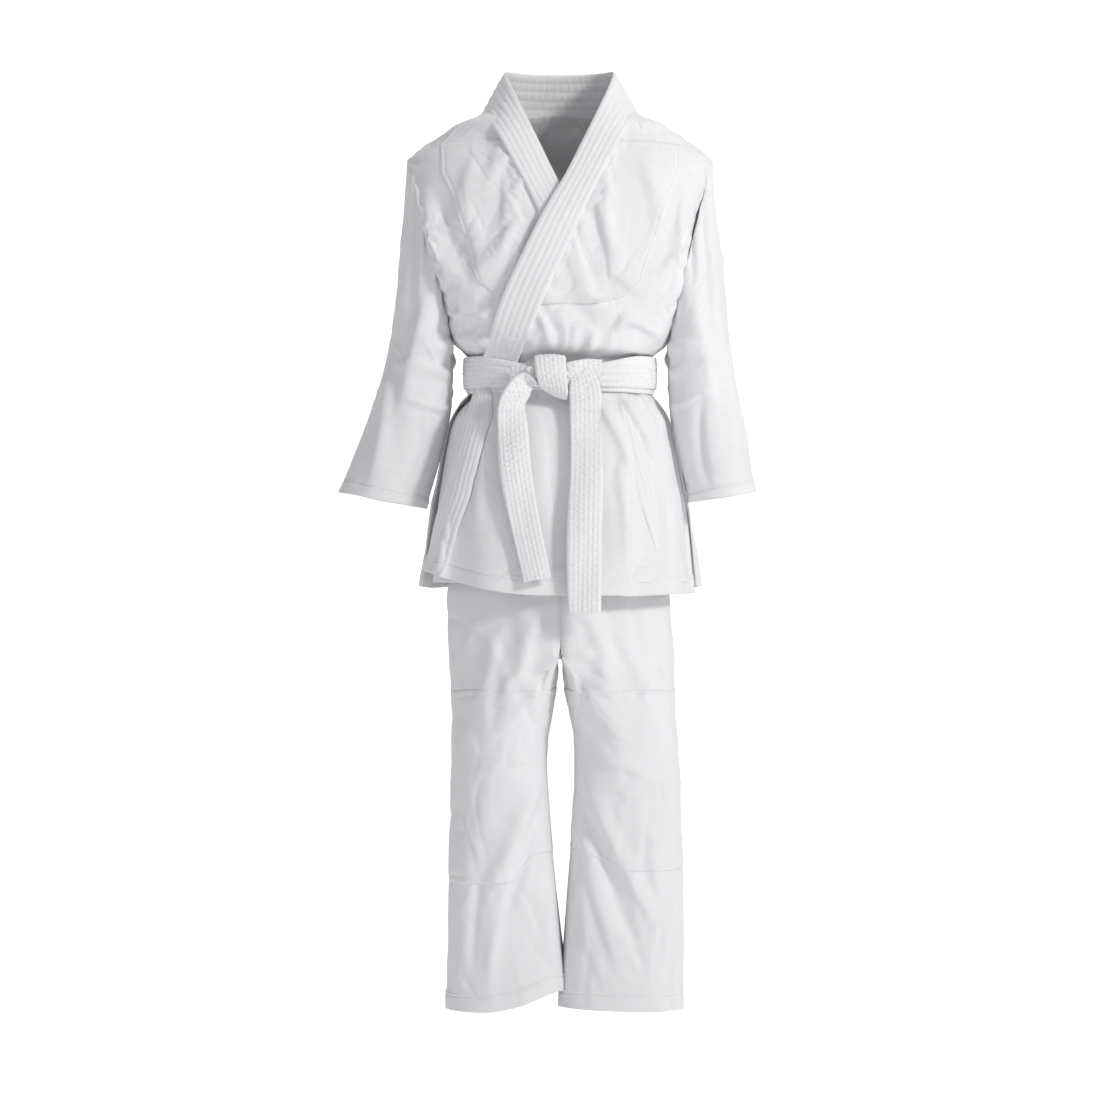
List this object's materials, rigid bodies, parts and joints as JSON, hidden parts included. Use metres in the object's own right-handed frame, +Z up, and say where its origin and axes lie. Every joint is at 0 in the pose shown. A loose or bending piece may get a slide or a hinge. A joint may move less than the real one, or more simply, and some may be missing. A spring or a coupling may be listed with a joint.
{
  "type": "martial arts uniform",
  "caption": "Child's wrap jacket with quilted collar, knotted belt and elastic-waist trousers, standing in its worn shape; sleeves, skirt, belt tails and knees move.",
  "frame": {"origin": "base of the neck on the centre line, where the wearer's shoulders hold the jacket", "axes": "+Z up, +Y behind the wearer, +X to the wearer's left"},
  "size_m": [0.537, 0.256, 1.17],
  "materials": {
    "jacket_cloth": "white woven cotton, slightly crumpled",
    "quilted_collar": "white cotton, quilted with rows of stitching",
    "belt_cotton": "white cotton, quilted with rows of stitching",
    "trouser_cloth": "white plain-weave cotton",
    "elastic": "ribbed knitted elastic"
  },
  "bodies": {
    "jacket": {"back_panel_left": "jacket_cloth", "back_panel_right": "jacket_cloth", "front_panel_left": "jacket_cloth", "front_panel_right": "jacket_cloth", "shoulder_yoke": "jacket_cloth", "chest_patch_left": "jacket_cloth", "chest_patch_right": "jacket_cloth", "collar_back": "quilted_collar", "lapel_left": "quilted_collar", "lapel_right": "quilted_collar", "armpit_gusset_left": "jacket_cloth", "armpit_gusset_right": "jacket_cloth", "sleeve_head_left": "jacket_cloth", "sleeve_head_right": "jacket_cloth", "belt_inner_wrap": "belt_cotton", "belt_outer_wrap": "belt_cotton", "belt_knot": "belt_cotton"},
    "sleeve_left": {"sleeve_left": "jacket_cloth", "cuff_left": "jacket_cloth"},
    "sleeve_right": {"sleeve_right": "jacket_cloth", "cuff_right": "jacket_cloth"},
    "skirt_front": {"skirt_front_left": "jacket_cloth", "skirt_front_right": "jacket_cloth", "skirt_lapel_left": "quilted_collar", "skirt_lapel_right": "quilted_collar"},
    "skirt_back": {"skirt_back": "jacket_cloth", "vent_patch_left": "jacket_cloth", "vent_patch_right": "jacket_cloth"},
    "belt_tail_left": {"belt_tail_left": "belt_cotton"},
    "belt_tail_right": {"belt_tail_right": "belt_cotton"},
    "trousers": {"waistband": "trouser_cloth", "waist_elastic": "elastic", "hips_left": "trouser_cloth", "hips_right": "trouser_cloth", "crotch_gusset": "trouser_cloth", "thigh_left": "trouser_cloth", "thigh_right": "trouser_cloth", "knee_patch_upper_left": "trouser_cloth", "knee_patch_upper_right": "trouser_cloth"},
    "shin_left": {"shin_left": "trouser_cloth", "knee_patch_lower_left": "trouser_cloth", "leg_hem_left": "trouser_cloth"},
    "shin_right": {"shin_right": "trouser_cloth", "knee_patch_lower_right": "trouser_cloth", "leg_hem_right": "trouser_cloth"}
  },
  "joints": [
    {"name": "sleeve_left_lift", "type": "hinge", "parent": "jacket", "child": "sleeve_left", "pos_m": [0.16, 0, -0.115], "axis": [0, -1, 0], "range_deg": [0, 70]},
    {"name": "sleeve_right_lift", "type": "hinge", "parent": "jacket", "child": "sleeve_right", "pos_m": [-0.16, 0, -0.115], "axis": [0, 1, 0], "range_deg": [0, 70]},
    {"name": "skirt_front_lift", "type": "hinge", "parent": "jacket", "child": "skirt_front", "pos_m": [0, -0.095, -0.369], "axis": [-1, 0, 0], "range_deg": [0, 30]},
    {"name": "skirt_back_lift", "type": "hinge", "parent": "jacket", "child": "skirt_back", "pos_m": [0, 0.095, -0.369], "axis": [1, 0, 0], "range_deg": [0, 30]},
    {"name": "belt_tail_left_swing", "type": "hinge", "parent": "skirt_front", "child": "belt_tail_left", "pos_m": [0, -0.106, -0.3715], "axis": [-1, 0, 0], "range_deg": [0, 60]},
    {"name": "belt_tail_right_swing", "type": "hinge", "parent": "skirt_front", "child": "belt_tail_right", "pos_m": [0, -0.106, -0.3715], "axis": [-1, 0, 0], "range_deg": [0, 60]},
    {"name": "trousers_pull_down", "type": "slide", "parent": "jacket", "child": "trousers", "axis": [0, 0, -1], "range_m": [0, 0.3]},
    {"name": "knee_left_bend", "type": "hinge", "parent": "trousers", "child": "shin_left", "pos_m": [0, -0.005, -0.82], "axis": [1, 0, 0], "range_deg": [0, 90]},
    {"name": "knee_right_bend", "type": "hinge", "parent": "trousers", "child": "shin_right", "pos_m": [0, -0.005, -0.82], "axis": [1, 0, 0], "range_deg": [0, 90]}
  ]
}
